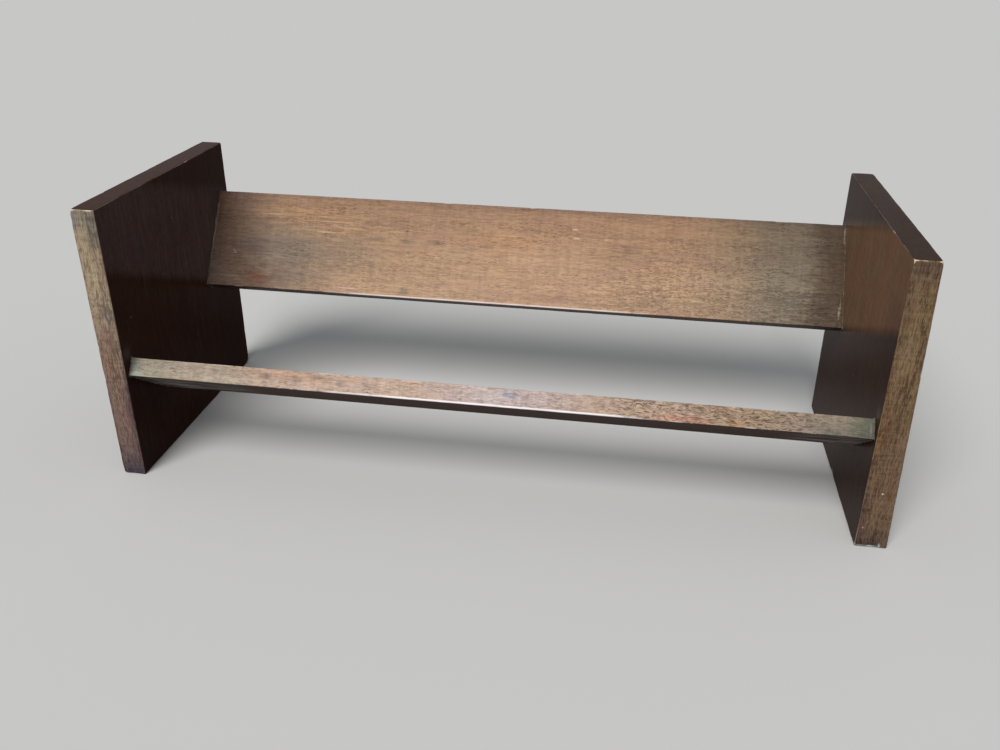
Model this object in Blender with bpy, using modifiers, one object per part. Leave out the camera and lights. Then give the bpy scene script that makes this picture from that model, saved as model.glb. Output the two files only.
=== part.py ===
# Book trough: two upright end boards carry a seat board and a back board that make a square V between them.
# Each board is butted and glued to the ends on hidden dowels, two at each end.
# Metres, +Z up, +Y to the rear. The origin is on the floor, under the middle of the trough.

import math

import bmesh
import bpy

# Both end boards, the length being over their feet
OVERALL_LENGTH = 0.515
END_DEPTH = 0.184
END_HEIGHT = 0.191
END_ARRIS = 0.0009

# The left end is upright and even. The right one thickens to its foot, where its inner face also leans out
LEFT_END_THICKNESS = 0.016
RIGHT_END_TOP_THICKNESS = 0.0155
RIGHT_END_FOOT_THICKNESS = 0.020
RIGHT_END_LEAN = 0.003

# The V: its corner is where a book's lower edge comes to lie
TROUGH_LEAN = math.radians(35)
CORNER_DEPTH = 0.086
CORNER_HEIGHT = 0.034

# Seat board, on the front leg of the V
SEAT_WIDTH = 0.055
SEAT_THICKNESS = 0.0125
SEAT_FROM_CORNER = 0.037
SEAT_ARRIS = 0.0007

# Back board, on the rear leg of the V
BACK_WIDTH = 0.076
BACK_THICKNESS = 0.010
BACK_FROM_CORNER = 0.073
BACK_ARRIS = 0.0006

# Dowels and their blind holes
SEAT_DOWEL_DIAMETER = 0.006
SEAT_DOWEL_SPACING = 0.030
BACK_DOWEL_DIAMETER = 0.005
BACK_DOWEL_SPACING = 0.042
DOWEL_IN_BOARD = 0.015
DOWEL_CHAMFER = 0.0005
DOWEL_FLUTE_DEPTH = 0.0002
DOWEL_FLUTES = 12
HOLE_FLOOR = 0.005
HOLE_SIDES = 32

# Gap between faces that touch, which stands for the glue line
JOINT_GAP = 0.0003

ARRIS_SEGMENTS = 3
MAHOGANY_DARK = (0.090, 0.040, 0.024, 1.0)
MAHOGANY_MID = (0.235, 0.125, 0.065, 1.0)
BEECH = (0.560, 0.390, 0.240, 1.0)

# Places along X that follow from the sizes
LEFT_INNER_X = LEFT_END_THICKNESS - OVERALL_LENGTH / 2
RIGHT_FOOT_X = OVERALL_LENGTH / 2 - RIGHT_END_FOOT_THICKNESS
RIGHT_TOP_X = RIGHT_FOOT_X - RIGHT_END_LEAN

# Lengths that follow: the thinnest part of the ends leaves the floor of the holes whole
THINNEST_END = min(LEFT_END_THICKNESS, RIGHT_END_TOP_THICKNESS, RIGHT_END_FOOT_THICKNESS)
DOWEL_IN_END = THINNEST_END - HOLE_FLOOR - JOINT_GAP
DOWEL_LENGTH = DOWEL_IN_END + JOINT_GAP + DOWEL_IN_BOARD


def clear_scene():
    for old in list(bpy.data.objects):
        bpy.data.objects.remove(old)


def new_collection(name):
    collection = bpy.data.collections.new(name)
    bpy.context.scene.collection.children.link(collection)
    return collection


def new_material(name, colour, roughness):
    material = bpy.data.materials.new(name)
    material.use_nodes = True
    shader = material.node_tree.nodes["Principled BSDF"]
    shader.inputs["Base Color"].default_value = colour
    shader.inputs["Roughness"].default_value = roughness
    shader.inputs["Metallic"].default_value = 0.0
    return material


def mesh_object(name, shape, collection, material=None):
    mesh = bpy.data.meshes.new(name)
    shape.to_mesh(mesh)
    shape.free()
    if material:
        mesh.materials.append(material)
    made = bpy.data.objects.new(name, mesh)
    collection.objects.link(made)
    return made


def block(length, depth, height):
    shape = bmesh.new()
    bmesh.ops.create_cube(shape, size=1)
    bmesh.ops.scale(shape, vec=(length, depth, height), verts=shape.verts)
    return shape


def round_arrises(piece, width):
    arris = piece.modifiers.new("arris", "BEVEL")
    arris.width = width
    arris.segments = ARRIS_SEGMENTS
    return arris


# Height above the floor of a point that is given in the V's own axes
def height_of(y, z):
    return CORNER_HEIGHT - y * math.sin(TROUGH_LEAN) + z * math.cos(TROUGH_LEAN)


# How far along X an end board's inner face stands at a height
def inner_face_x(side, height):
    return RIGHT_FOOT_X - RIGHT_END_LEAN * height / END_HEIGHT if side > 0 else LEFT_INNER_X


# An end board, given how far along X its two faces stand at its foot and at its top
def end_board(name, foot, top, collection, material):
    shape = block(1, END_DEPTH, END_HEIGHT)
    middle = sum(foot) / 2
    for vert in shape.verts:
        low_x, high_x = top if vert.co.z > 0 else foot
        vert.co.x = (high_x if vert.co.x > 0 else low_x) - middle
    piece = mesh_object(name, shape, collection, material)
    piece.location = (middle, 0, END_HEIGHT / 2)
    round_arrises(piece, END_ARRIS)
    return piece


# A board of the V, cut to the inner faces of the end boards.
# Only the edges along its length are eased, so its ends stay sharp where they butt
def trough_board(name, width, thickness, middle, arris, collection, material):
    shape = block(1, width, thickness)
    for vert in shape.verts:
        side = 1 if vert.co.x > 0 else -1
        height = height_of(middle[0] + vert.co.y, middle[1] + vert.co.z)
        vert.co.x = inner_face_x(side, height) - side * JOINT_GAP
    weight = shape.edges.layers.float.new("bevel_weight_edge")
    for edge in shape.edges:
        run = edge.verts[1].co - edge.verts[0].co
        edge[weight] = 1 if abs(run.x) > abs(run.y) + abs(run.z) else 0
    piece = mesh_object(name, shape, collection, material)
    piece.location = (0, *middle)
    round_arrises(piece, arris).limit_method = "WEIGHT"
    return piece


# A fluted dowel along X: every other point round it is drawn in, and its two ends are chamfered
def dowel(name, diameter, side, centre, collection, material):
    radius = diameter / 2
    shape = bmesh.new()
    bmesh.ops.create_cone(
        shape,
        cap_ends=True,
        segments=2 * DOWEL_FLUTES,
        radius1=radius,
        radius2=radius,
        depth=DOWEL_LENGTH,
    )
    step = math.pi / DOWEL_FLUTES
    valley_share = (radius - DOWEL_FLUTE_DEPTH) / radius
    for vert in shape.verts:
        if round(math.atan2(vert.co.y, vert.co.x) / step) % 2:
            vert.co.x *= valley_share
            vert.co.y *= valley_share
    piece = mesh_object(name, shape, collection, material)
    piece.rotation_euler.y = math.pi / 2
    outer_x = inner_face_x(side, height_of(*centre)) + side * DOWEL_IN_END
    piece.location = (outer_x - side * DOWEL_LENGTH / 2, *centre)
    chamfer = piece.modifiers.new("chamfer", "BEVEL")
    chamfer.width = DOWEL_CHAMFER
    chamfer.segments = 1
    chamfer.limit_method = "ANGLE"
    chamfer.angle_limit = math.radians(70)
    return piece


# The cutter round a dowel: it drills the blind hole in the end board and the one in the board's end
def drill(name, diameter, pin, collection):
    radius = diameter / 2 + JOINT_GAP
    shape = bmesh.new()
    bmesh.ops.create_cone(
        shape,
        cap_ends=True,
        segments=HOLE_SIDES,
        radius1=radius,
        radius2=radius,
        depth=DOWEL_LENGTH + 2 * JOINT_GAP,
    )
    cutter = mesh_object(name, shape, collection)
    cutter.rotation_euler = pin.rotation_euler
    cutter.location = pin.location
    cutter.hide_render = True
    cutter.display_type = "WIRE"
    return cutter


def cut(piece, cutter):
    hole = piece.modifiers.new(cutter.name, "BOOLEAN")
    hole.operation = "DIFFERENCE"
    hole.solver = "EXACT"
    hole.object = cutter


# Centres of a board's two dowels, as (y, z) in the V's own axes, named in the order given
def dowel_centres(first, second, middle, along, spacing):
    centres = {}
    for name, way in ((first, -1), (second, 1)):
        y, z = middle
        centres[name] = (y + way * spacing / 2, z) if along == "y" else (y, z + way * spacing / 2)
    return centres


def main():
    clear_scene()
    trough = new_collection("book_trough")
    cutters = new_collection("cutters")
    end_wood = new_material("mahogany_ends", MAHOGANY_DARK, 0.25)
    board_wood = new_material("mahogany_boards", MAHOGANY_MID, 0.35)
    dowel_wood = new_material("beech_dowels", BEECH, 0.6)

    # The V's own axes: Y runs down the seat to the rear, Z runs up the back, and X stays level
    corner = bpy.data.objects.new("trough_corner", None)
    trough.objects.link(corner)
    corner.location = (0, CORNER_DEPTH - END_DEPTH / 2, CORNER_HEIGHT)
    corner.rotation_euler.x = -TROUGH_LEAN

    left_faces = (-OVERALL_LENGTH / 2, LEFT_INNER_X)
    right_foot_faces = (RIGHT_FOOT_X, OVERALL_LENGTH / 2)
    right_top_faces = (RIGHT_TOP_X, RIGHT_TOP_X + RIGHT_END_TOP_THICKNESS)
    ends = {
        "left": end_board("left_end_board", left_faces, left_faces, trough, end_wood),
        "right": end_board("right_end_board", right_foot_faces, right_top_faces, trough, end_wood),
    }

    seat_middle = (-SEAT_FROM_CORNER - SEAT_WIDTH / 2, -SEAT_THICKNESS / 2)
    seat = trough_board("seat_board", SEAT_WIDTH, SEAT_THICKNESS, seat_middle, SEAT_ARRIS, trough, board_wood)
    back_middle = (BACK_THICKNESS / 2, BACK_FROM_CORNER + BACK_WIDTH / 2)
    back = trough_board("back_board", BACK_THICKNESS, BACK_WIDTH, back_middle, BACK_ARRIS, trough, board_wood)

    seat_dowels = dowel_centres("front", "rear", seat_middle, "y", SEAT_DOWEL_SPACING)
    back_dowels = dowel_centres("lower", "upper", back_middle, "z", BACK_DOWEL_SPACING)
    for board, label, centres, diameter in (
        (seat, "seat", seat_dowels, SEAT_DOWEL_DIAMETER),
        (back, "back", back_dowels, BACK_DOWEL_DIAMETER),
    ):
        board.parent = corner
        for side_name, side in (("left", -1), ("right", 1)):
            for place, centre in centres.items():
                name = f"{label}_dowel_{side_name}_{place}"
                pin = dowel(name, diameter, side, centre, trough, dowel_wood)
                pin.parent = corner
                cutter = drill(f"{name}_hole", diameter, pin, cutters)
                cutter.parent = corner
                cut(board, cutter)
                cut(ends[side_name], cutter)


main()
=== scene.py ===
# Book trough in polished mahogany: two end boards, a seat board and a back board butted between
# them, the thin lines of old glue round the four joints, and the beech dowels inside them.
# Lengths are in metres, and those of stains, marks and noises in millimetres. Each board is shaped
# and painted in its own frame, with its middle as origin, and then set in place.
import math
import random

import bmesh
import bpy
from mathutils import Matrix, Vector, noise


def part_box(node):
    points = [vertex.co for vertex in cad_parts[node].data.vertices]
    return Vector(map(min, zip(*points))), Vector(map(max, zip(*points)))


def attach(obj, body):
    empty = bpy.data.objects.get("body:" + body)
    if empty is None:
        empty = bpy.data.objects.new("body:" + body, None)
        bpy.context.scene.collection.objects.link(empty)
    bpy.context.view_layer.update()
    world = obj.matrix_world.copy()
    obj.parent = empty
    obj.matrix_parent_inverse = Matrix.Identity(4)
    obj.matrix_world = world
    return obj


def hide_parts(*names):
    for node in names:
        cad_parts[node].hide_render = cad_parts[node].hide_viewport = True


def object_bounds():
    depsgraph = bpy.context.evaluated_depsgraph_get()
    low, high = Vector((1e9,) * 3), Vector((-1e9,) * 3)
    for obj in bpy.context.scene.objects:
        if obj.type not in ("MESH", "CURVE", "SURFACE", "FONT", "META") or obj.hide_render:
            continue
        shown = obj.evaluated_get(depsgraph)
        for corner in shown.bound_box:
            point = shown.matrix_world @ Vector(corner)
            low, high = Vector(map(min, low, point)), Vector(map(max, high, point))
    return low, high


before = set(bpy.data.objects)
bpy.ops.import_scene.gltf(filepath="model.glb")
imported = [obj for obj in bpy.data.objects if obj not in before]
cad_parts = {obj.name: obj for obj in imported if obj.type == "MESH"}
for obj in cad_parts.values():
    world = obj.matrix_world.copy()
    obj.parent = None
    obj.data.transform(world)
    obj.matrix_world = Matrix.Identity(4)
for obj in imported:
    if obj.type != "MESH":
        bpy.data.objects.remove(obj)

cadLowest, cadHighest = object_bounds()
print("frame loaded:", len(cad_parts), "nodes")

# Camera, floor and light

cameraSetup = {
    "place": (0.08407, -0.58456, 0.35732),
    "turnInDegrees": (62.795, -0.5814, 8.8786),
    "lens": 32.7551,
    "sensor": 36.0,
    "nearest": 0.01,
}

studio = {
    "floorRadius": 9.0,
    "floorSides": 96,
    "floorDrop": 0.0001,
    "floorColour": (0.62, 0.62, 0.615),
    "floorBounce": (0.2, 0.2, 0.2),   # what the floor throws back at the object
    "floorRoughness": 0.9,
    "skyColour": (0.279, 0.288, 0.3),   # what lights the object
    "wallColour": (0.575, 0.575, 0.57),   # what is seen behind it
    "sunFrom": (-0.2, -0.66, 0.78),
    "sunAngle": math.radians(34),
    "sunStrength": 2.7,
    "sunColour": (1.0, 0.985, 0.955),
}


def makeCamera():
    camera = bpy.data.objects.new("camera", bpy.data.cameras.new("camera"))
    bpy.context.scene.collection.objects.link(camera)
    camera.location = cameraSetup["place"]
    camera.rotation_euler = [math.radians(angle) for angle in cameraSetup["turnInDegrees"]]
    camera.data.lens = cameraSetup["lens"]
    camera.data.sensor_width = cameraSetup["sensor"]
    camera.data.clip_start = cameraSetup["nearest"]
    bpy.context.scene.camera = camera


def seenDirectly():   # 1 where the camera, a reflection or a view through glass meets the surface
    path = newNode("ShaderNodeLightPath")
    seen = maths("MAXIMUM", path.outputs["Is Camera Ray"], path.outputs["Is Glossy Ray"])
    return maths("MAXIMUM", seen, path.outputs["Is Transmission Ray"])


def makeStudio():
    shape = bmesh.new()
    bmesh.ops.create_circle(
        shape, cap_ends=True, segments=studio["floorSides"], radius=studio["floorRadius"],
    )
    bmesh.ops.translate(shape, vec=(0, 0, -studio["floorDrop"]), verts=shape.verts)
    floor = meshObject("floor", shape)
    paint, shader = startMaterial("palePaper", 0.0)
    paper = mixColours(seenDirectly(), studio["floorBounce"], studio["floorColour"])
    feed(shader.inputs["Base Color"], paper)
    feed(shader.inputs["Roughness"], studio["floorRoughness"])
    floor.data.materials.append(paint)

    sky = bpy.data.worlds.new("softRoom")
    sky.use_nodes = True
    bench["tree"] = sky.node_tree
    walls = mixColours(seenDirectly(), studio["skyColour"], studio["wallColour"])
    feed(sky.node_tree.nodes["Background"].inputs["Color"], walls)
    bpy.context.scene.world = sky

    lamp = bpy.data.lights.new("softSun", "SUN")
    lamp.energy = studio["sunStrength"]
    lamp.angle = studio["sunAngle"]
    lamp.color = studio["sunColour"]
    sun = bpy.data.objects.new("softSun", lamp)
    bpy.context.scene.collection.objects.link(sun)
    sun.rotation_euler = Vector(studio["sunFrom"]).to_track_quat("Z", "Y").to_euler()


# Mesh helpers

meshing = {
    "easing": (   # how far from an arris the mesh is cut beside it
        0.0002, 0.0004, 0.0006, 0.0008, 0.0011, 0.0015, 0.0021, 0.003, 0.004,
    ),
    "holeSides": 32,
    "sharpAngle": math.radians(50),
    "fineGrain": 3.1,   # how much finer the second layer of unevenness is along an arris
    "leastKnock": 0.3,   # the least depth and reach of a small knock, as shares
    "leastReach": 0.4,
    "wornDent": 0.5,   # how bare a worn corner is
}


def meshObject(name, shape):
    mesh = bpy.data.meshes.new(name)
    shape.to_mesh(mesh)
    shape.free()
    made = bpy.data.objects.new(name, mesh)
    bpy.context.scene.collection.objects.link(made)
    return made


def cutAcross(shape, axis, cuts):   # cuts a cube of size 1 across one axis
    runs = [
        edge for edge in shape.edges
        if abs(edge.verts[0].co[axis] - edge.verts[1].co[axis]) > 0.5
    ]
    bmesh.ops.subdivide_edges(shape, edges=runs, cuts=cuts)


def stations(half, spacing):   # where the mesh is cut across one direction, closest at the arrises
    edge = [half - step for step in meshing["easing"]]
    count = max(1, round(2 * edge[-1] / spacing))
    middle = [edge[-1] * (2 * i / count - 1) for i in range(1, count)]
    return sorted([-half, half] + edge + [-place for place in edge] + middle)


def boardBlock(half, spacing):   # a block of quads, each row of them at its station
    shape = bmesh.new()
    bmesh.ops.create_cube(shape, size=1)
    for axis in range(3):
        places = stations(half[axis], spacing)
        cutAcross(shape, axis, len(places) - 2)
        for vert in shape.verts:
            vert.co[axis] = places[round((vert.co[axis] + 0.5) * (len(places) - 1))]
    return shape


def scatterKnocks(half, axes, count, depth, reach, seed):   # small dents, all along the arrises
    dice = random.Random(seed)
    knocks = []
    for i in range(count):
        run = dice.choice([axis for axis in range(3) if len(axes) == 3 or axis not in axes])
        place = [dice.choice((-1, 1)) * half[axis] for axis in range(3)]
        place[run] = dice.uniform(-half[run], half[run])
        share = meshing["leastKnock"] + dice.random() ** 2
        size = meshing["leastReach"] + dice.random()
        knocks.append((tuple(place), depth * share, reach * size))
    return knocks


def easeArrises(shape, half, axes, arrises, knocks):   # rounds each arris, and more where knocked
    arris = shape.verts.layers.float.new("arris")
    dent = shape.verts.layers.float.new("dent")
    most = arrises["radius"] * 2 + max([depth for place, depth, reach in knocks], default=0)
    for vert in shape.verts:
        if sum(abs(vert.co[axis]) > half[axis] - most for axis in axes) < 2:
            continue
        knocked = 0.0
        for place, depth, reach in knocks:
            gap = (vert.co - Vector(place)).length / reach
            if gap < 1:
                knocked = max(knocked, depth * (1 - gap * gap) ** 2)
        spot = vert.co / arrises["grain"]
        rough = noise.noise(spot) + 0.5 * noise.noise(spot * meshing["fineGrain"])
        radius = arrises["radius"] * (1 + arrises["wobble"] * rough) + knocked
        inner = vert.co.copy()
        for axis in axes:
            inner[axis] = max(-half[axis] + radius, min(half[axis] - radius, inner[axis]))
        away = vert.co - inner
        if away.length > radius * 1.001:   # past the round, so not on it already
            vert[arris] = min(1.0, (away.length / radius - 1) / (math.sqrt(2) - 1))
            vert[dent] = min(1.0, knocked / arrises["radius"])
            vert.co = inner + away * (radius / away.length)


def wearCorner(shape, point, normal):   # a flat worn on a corner
    normal = Vector(normal).normalized()
    dent = shape.verts.layers.float["dent"]
    for vert in shape.verts:
        over = (vert.co - Vector(point)).dot(normal)
        if over > 0:
            vert.co -= normal * over
            vert[dent] = max(vert[dent], meshing["wornDent"])


def planeByHand(shape, half, axes, dips):   # lets the faces dip slightly, as planed wood does
    for vert in shape.verts:
        for axis in axes:
            seed = Vector((7.0 * axis, 3.0, 11.0 * (vert.co[axis] > 0)))   # each face its own dips
            dip = dips["depth"] * (0.5 + 0.5 * noise.noise(vert.co / dips["size"] + seed))
            vert.co[axis] -= vert.co[axis] / half[axis] * dip


def drillHoles(piece, names, clearance):   # blind holes for the dowels that run into this board
    cutters = []
    for name in names:
        low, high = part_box(name)
        radius = (high.z - low.z) / 2 + clearance
        length = high.x - low.x + 2 * clearance
        shape = bmesh.new()
        bmesh.ops.create_cone(
            shape, cap_ends=True, segments=meshing["holeSides"],
            radius1=radius, radius2=radius, depth=length,
            matrix=Matrix.Translation((low + high) / 2) @ Matrix.Rotation(math.pi / 2, 4, "Y"),
        )
        cutter = meshObject(name + "_hole", shape)
        hole = piece.modifiers.new(name, "BOOLEAN")
        hole.operation = "DIFFERENCE"
        hole.solver = "EXACT"
        hole.object = cutter
        cutters.append(cutter)
    graph = bpy.context.evaluated_depsgraph_get()
    drilled = bpy.data.meshes.new_from_object(piece.evaluated_get(graph))
    piece.modifiers.clear()
    piece.data = drilled
    for cutter in cutters:
        bpy.data.objects.remove(cutter)


def finishBoard(name, shape, dowels, material):
    piece = meshObject(name, shape)
    drillHoles(piece, dowels, trough["clearance"])
    piece.data.materials.clear()
    piece.data.materials.append(material)
    piece.data.shade_smooth()
    piece.data.set_sharp_from_angle(angle=meshing["sharpAngle"])
    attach(piece, "root")
    return piece


# Node helpers

bench = {}   # holds the node tree that the helpers add to


def newNode(kind):
    return bench["tree"].nodes.new(kind)


def feed(socket, value):   # links a socket or sets it, a colour by its red, green and blue
    if isinstance(value, bpy.types.NodeSocket):
        socket.id_data.links.new(value, socket)
    elif socket.type == "RGBA":
        socket.default_value = (*value, 1.0)
    else:
        socket.default_value = value


def maths(operation, first, second=0.0, third=0.0):
    node = newNode("ShaderNodeMath")
    node.operation = operation
    for socket, value in zip(node.inputs, (first, second, third)):
        feed(socket, value)
    return node.outputs[0]


def times(first, second):
    return maths("MULTIPLY", first, second)


def raised(base, value, share):   # the base, and a share of the value added to it
    return maths("MULTIPLY_ADD", value, share, base)


def spread(mask, values):   # from the first value, raised by the second where the mask is
    return raised(values[0], mask, values[1])


def vectorMaths(operation, first, second=(0.0, 0.0, 0.0)):
    node = newNode("ShaderNodeVectorMath")
    node.operation = operation
    feed(node.inputs[0], first)
    feed(node.inputs[1], second)
    return node.outputs["Value" if operation == "LENGTH" else "Vector"]


def inMillimetres(vector):
    return vectorMaths("MULTIPLY", vector, (1000.0, 1000.0, 1000.0))


def softStep(value, low, high, start=0.0, end=1.0):
    node = newNode("ShaderNodeMapRange")
    node.interpolation_type = "SMOOTHSTEP"
    for label, given in (
        ("Value", value), ("From Min", low), ("From Max", high), ("To Min", start), ("To Max", end),
    ):
        feed(node.inputs[label], given)
    return node.outputs["Result"]


def nearLow(place, half, reach):   # 1 beside the face on the minus side, 0 where the reach begins
    return softStep(place, *(step - half for step in reach))


def nearHigh(place, half, reach):
    return softStep(place, *(half - step for step in reach))


def mixColours(share, first, second, way="MIX"):
    node = newNode("ShaderNodeMix")
    node.data_type = "RGBA"
    node.blend_type = way
    node.clamp_factor = True
    for place, value in ((0, share), (6, first), (7, second)):   # the factor, and colours A and B
        feed(node.inputs[place], value)
    return node.outputs[2]


def lay(colour, mask, coat, way="MIX"):   # lays a coat over a colour: its paint and its share
    paint, share = coat
    return mixColours(times(mask, share), colour, paint, way)


def tint(share, colour, shade):   # darkens and turns a colour, and keeps its grain
    return mixColours(share, colour, shade, "MULTIPLY")


def stretched(vector, stretch, shift):
    return vectorMaths("ADD", vectorMaths("MULTIPLY", vector, stretch), shift)


def noiseOf(vector, stretch, detail=2.0, roughness=0.5, shift=(0.0, 0.0, 0.0)):
    node = newNode("ShaderNodeTexNoise")
    feed(node.inputs["Vector"], stretched(vector, stretch, shift))
    for label, value in (("Scale", 1.0), ("Detail", detail), ("Roughness", roughness)):
        node.inputs[label].default_value = value
    return node.outputs[0]


def swingOf(*look):   # noise that swings about zero
    return maths("SUBTRACT", noiseOf(*look), 0.5)


def cellsOf(vector, stretch, shift=(0.0, 0.0, 0.0)):
    node = newNode("ShaderNodeTexVoronoi")
    feed(node.inputs["Vector"], stretched(vector, stretch, shift))
    node.inputs["Scale"].default_value = 1.0
    return node.outputs["Distance"]


def axesOf(vector):
    node = newNode("ShaderNodeSeparateXYZ")
    feed(node.inputs[0], vector)
    return node.outputs["X"], node.outputs["Y"], node.outputs["Z"]


def vectorOf(**axes):
    node = newNode("ShaderNodeCombineXYZ")
    for label, value in axes.items():
        feed(node.inputs[label], value)
    return node.outputs["Vector"]


def newGroup(name, inputs, outputs=(("Float", ["Mask"]),)):   # sockets by kind, after a Vector
    tree = bench["tree"] = bpy.data.node_groups.new(name, "ShaderNodeTree")
    for way, sockets in (("INPUT", (("Vector", ["Vector"]), *inputs)), ("OUTPUT", outputs)):
        for kind, labels in sockets:
            for label in labels:
                tree.interface.new_socket(name=label, in_out=way, socket_type="NodeSocket" + kind)
    given = newNode("NodeGroupInput").outputs
    return tree, given, newNode("NodeGroupOutput").inputs, inMillimetres(given["Vector"])


def useGroup(group, values):
    node = newNode("ShaderNodeGroup")
    node.node_tree = group
    for label, value in values.items():
        feed(node.inputs[label], value)
    return node.outputs


def objectVector():
    return newNode("ShaderNodeTexCoord").outputs["Object"]


def boardVector(centre, turn):   # the board's own frame, from Object coordinates
    mapping = newNode("ShaderNodeMapping")
    mapping.vector_type = "TEXTURE"
    mapping.inputs["Location"].default_value = centre
    mapping.inputs["Rotation"].default_value = turn
    feed(mapping.inputs["Vector"], objectVector())
    return mapping.outputs["Vector"]


def attributeOf(name):
    node = newNode("ShaderNodeAttribute")
    node.attribute_name = name
    return node.outputs["Fac"]


# Shared effects. A noise has its stretch per millimetre along X, Y and Z, then detail, roughness
# and shift

grainLook = {
    "drift": ((0.007, 0.03, 0.03),),
    "curl": ((0.11, 0.13, 0.13), 1.0, 0.5, (5.0, 9.0, 2.0)),
    "layers": (   # noise, and how strongly it shows
        (((0.005, 0.07, 0.07), 2.0, 0.55, (1.0, 4.0, 8.0)), 1.2),   # broad bands
        (((0.042, 0.5, 0.5), 3.0, 0.55, (3.0, 1.0, 6.0)), 1.6),   # streaks
        (((0.18, 1.05, 1.05), 2.0, 0.55, (2.0, 7.0, 5.0)), 2.6),   # fibres
        (((0.45, 0.055, 0.055), 1.0, 0.55, (6.0, 2.0, 9.0)), 0.8),   # faint bars across the grain
    ),
    "coats": (   # paint, noise, where it starts and is full, and how thick it lies
        ("Amber", ((0.035, 0.42, 0.42), 3.0, 0.5, (9.0, 2.0, 4.0)), (0.5, 0.72), 0.5),
        ("Blush", ((0.03, 0.11, 0.11), 3.0, 0.55, (4.0, 8.0, 3.0)), (0.5, 0.7), 0.45),
    ),
    "bunches": ((0.03, 0.13, 0.13), 2.0, 0.5, (6.0, 6.0, 1.0)),   # where the pores crowd
    "crowd": (0.75, 1.15),
    "poreRim": 0.35,
    "pores": (   # stretch, shift and depth of the large and the fine ones
        ((0.17, 1.1, 1.1), (0.0, 0.0, 0.0), 1.0),
        ((0.26, 2.1, 2.1), (4.0, 4.0, 4.0), 0.8),
    ),
    "poreShare": 0.8,
}

wearLook = {
    "broad": ((0.05, 0.05, 0.05), 3.0),
    "close": ((0.6, 0.6, 0.6), 2.0, 0.6, (3.0, 3.0, 3.0)),
    "shares": (1.6, 1.1),   # of the broad and the close noise
    "arris": (0.05, 0.6),
    "bare": (0.35, 0.75),
}

patchLook = {"ragged": ((0.1, 0.45, 0.45), 4.0, 0.7), "feather": 0.9}

dustLook = {
    "cloud": ((0.11, 0.16, 0.16), 4.0, 0.6),
    "speck": ((1.3, 1.6, 1.6), 2.0, 0.7, (8.0, 3.0, 5.0)),
    "shares": (0.7, 0.3),   # of the cloud and the specks
    "shows": (0.42, 0.72),
}

hairlineLook = {
    "line": ((0.5, 0.22, 0.016), 1.0),
    "thickness": 0.012,
    "where": ((0.05, 0.05, 0.03), 2.0, 0.5, (2.0, 8.0, 6.0)),
    "shows": (0.95, 1.2),
}

rubbedHighlightLook = {
    "breaks": ((0.09, 0.0, 0.0), 4.0, 0.6, (3.0, 5.0, 7.0)),
    "evenness": 0.35,
    "shows": (0.5, 0.72),
}


def makeGrain():   # fibres, streaks, ribbon and open pores of mahogany, X along the grain
    look = grainLook
    tree, given, out, mm = newGroup("mahoganyGrain", (
        ("Color", ["Pale", "Dark", "Amber", "Blush", "Pore"]),
        ("Float", ["Contrast", "Wave", "Curl", "Pore Share", "Pore Size"]),
    ), (("Color", ["Color"]), ("Float", ["Pores"])))
    curl = times(swingOf(mm, *look["curl"]), given["Curl"])
    side = raised(curl, swingOf(mm, *look["drift"]), given["Wave"])
    bent = vectorMaths("ADD", mm, vectorOf(Y=side, Z=side))

    tone = 0.0
    for layer, share in look["layers"]:
        tone = raised(tone, swingOf(bent, *layer), share)
    tone = raised(0.5, tone, given["Contrast"])
    colour = mixColours(tone, given["Dark"], given["Pale"])
    for paint, cloud, shows, share in look["coats"]:
        mask = softStep(noiseOf(bent, *cloud), *shows)
        colour = lay(colour, mask, (given[paint], share))

    bunch = noiseOf(mm, *look["bunches"])
    gate = softStep(maths("ADD", bunch, given["Pore Share"]), *look["crowd"])
    rim = times(given["Pore Size"], look["poreRim"])
    large, fine = (
        times(softStep(cellsOf(bent, stretch, shift), rim, given["Pore Size"], depth, 0.0), gate)
        for stretch, shift, depth in look["pores"]
    )
    pores = maths("MAXIMUM", large, fine)
    feed(out["Color"], lay(colour, pores, (given["Pore"], look["poreShare"])))
    feed(out["Pores"], pores)
    return tree


def makeArrisWear():   # where the finish is rubbed off the arrises and out of the dents
    look = wearLook
    tree, given, out, mm = newGroup("arrisWear", (("Float", ["Arris", "Dent", "Amount"]),))
    broad, close = look["shares"]
    level = raised(times(swingOf(mm, *look["close"]), close),
                   swingOf(mm, *look["broad"]), broad)
    level = maths("ADD", level, maths("ADD", given["Amount"], given["Dent"]))
    level = times(level, softStep(given["Arris"], *look["arris"]))
    feed(out["Mask"], softStep(level, *look["bare"]))
    return tree


def makePatch():   # one soft-edged patch, broken up by noise
    tree, given, out, mm = newGroup("patch", (
        ("Vector", ["Centre", "Reach"]), ("Float", ["Feather", "Break Up"]),
    ))
    away = vectorMaths("SUBTRACT", given["Vector"], given["Centre"])
    length = vectorMaths("LENGTH", vectorMaths("DIVIDE", away, given["Reach"]))
    length = raised(length, swingOf(mm, *patchLook["ragged"]), given["Break Up"])
    inside = maths("SUBTRACT", 1.0, given["Feather"])
    feed(out["Mask"], softStep(length, inside, 1.0, 1.0, 0.0))
    return tree


def makeDust():   # pale specks and haze of old glue and dust
    look = dustLook
    tree, given, out, mm = newGroup("dust", (("Float", ["Amount"]),))
    level, speck = (
        times(noiseOf(mm, *look[label]), share)
        for label, share in zip(("cloud", "speck"), look["shares"])
    )
    level = maths("ADD", level, speck)
    level = maths("ADD", level, maths("SUBTRACT", given["Amount"], 0.5))
    feed(out["Mask"], softStep(level, *look["shows"]))
    return tree


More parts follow.
